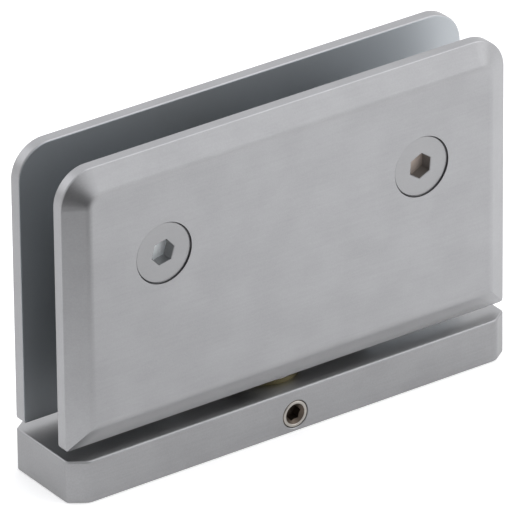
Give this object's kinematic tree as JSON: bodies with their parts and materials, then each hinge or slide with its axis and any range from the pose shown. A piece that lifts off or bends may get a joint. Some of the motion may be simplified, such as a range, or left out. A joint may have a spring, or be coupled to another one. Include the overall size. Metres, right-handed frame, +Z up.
{
  "type": "shower door hinge",
  "caption": "Pivot hinge for a glass shower door: a low base bar and two bevelled plates that clamp the glass and turn on a sprung pin.",
  "frame": {"origin": "middle of the underside of the base bar, on the pin's axis", "axes": "+X along the hinge, -Y towards the front plate with the screw heads, +Z up from the sill along the pin"},
  "size_m": [0.09, 0.019, 0.0604],
  "materials": {
    "satin_plate": "satin",
    "satin_base": "satin",
    "satin_screw": "satin",
    "screw_steel": "turned",
    "spring_steel": "oiled",
    "turned_brass": "turned",
    "plated_block": "cast, satin plated",
    "bush_bronze": "sintered",
    "washer_plastic": "smooth"
  },
  "bodies": {
    "base": {"base_plate": "satin_base", "pin_lock_screw": "screw_steel"},
    "pin": {"pivot_pin": "turned_brass", "retaining_ring": "spring_steel"},
    "door_clamp": {"front_plate": "satin_plate", "back_plate": "satin_plate", "clamp_screw_left": "satin_screw", "clamp_screw_right": "satin_screw", "pivot_block": "plated_block", "lower_bush": "bush_bronze", "upper_bush": "bush_bronze", "thrust_washer": "washer_plastic", "ring_washer": "screw_steel", "plunger_spring_left": "spring_steel", "plunger_spring_right": "spring_steel", "spring_plug_left": "screw_steel", "spring_plug_right": "screw_steel", "block_screw_lower_left": "screw_steel", "block_screw_lower_right": "screw_steel", "block_screw_upper_left": "screw_steel", "block_screw_upper_right": "screw_steel"},
    "plunger_left": {"plunger_left": "screw_steel"},
    "plunger_right": {"plunger_right": "screw_steel"}
  },
  "joints": [
    {"name": "closing_angle_adjust", "type": "hinge", "parent": "base", "child": "pin", "pos_m": [0, 0, 0.008], "axis": [0, 0, 1], "range_deg": [-15, 15]},
    {"name": "door_swing", "type": "hinge", "parent": "pin", "child": "door_clamp", "pos_m": [0, 0, 0.025], "axis": [0, 0, 1], "range_deg": [-90, 90]},
    {"name": "plunger_left_slide", "type": "slide", "parent": "door_clamp", "child": "plunger_left", "axis": [1, 0, 0], "range_m": [0, 0.0006], "stiffness_N_per_m": 8000, "springref_m": 0.004, "deforming": ["plunger_spring_left"]},
    {"name": "plunger_right_slide", "type": "slide", "parent": "door_clamp", "child": "plunger_right", "axis": [-1, 0, 0], "range_m": [0, 0.0006], "stiffness_N_per_m": 8000, "springref_m": 0.004, "deforming": ["plunger_spring_right"]}
  ]
}
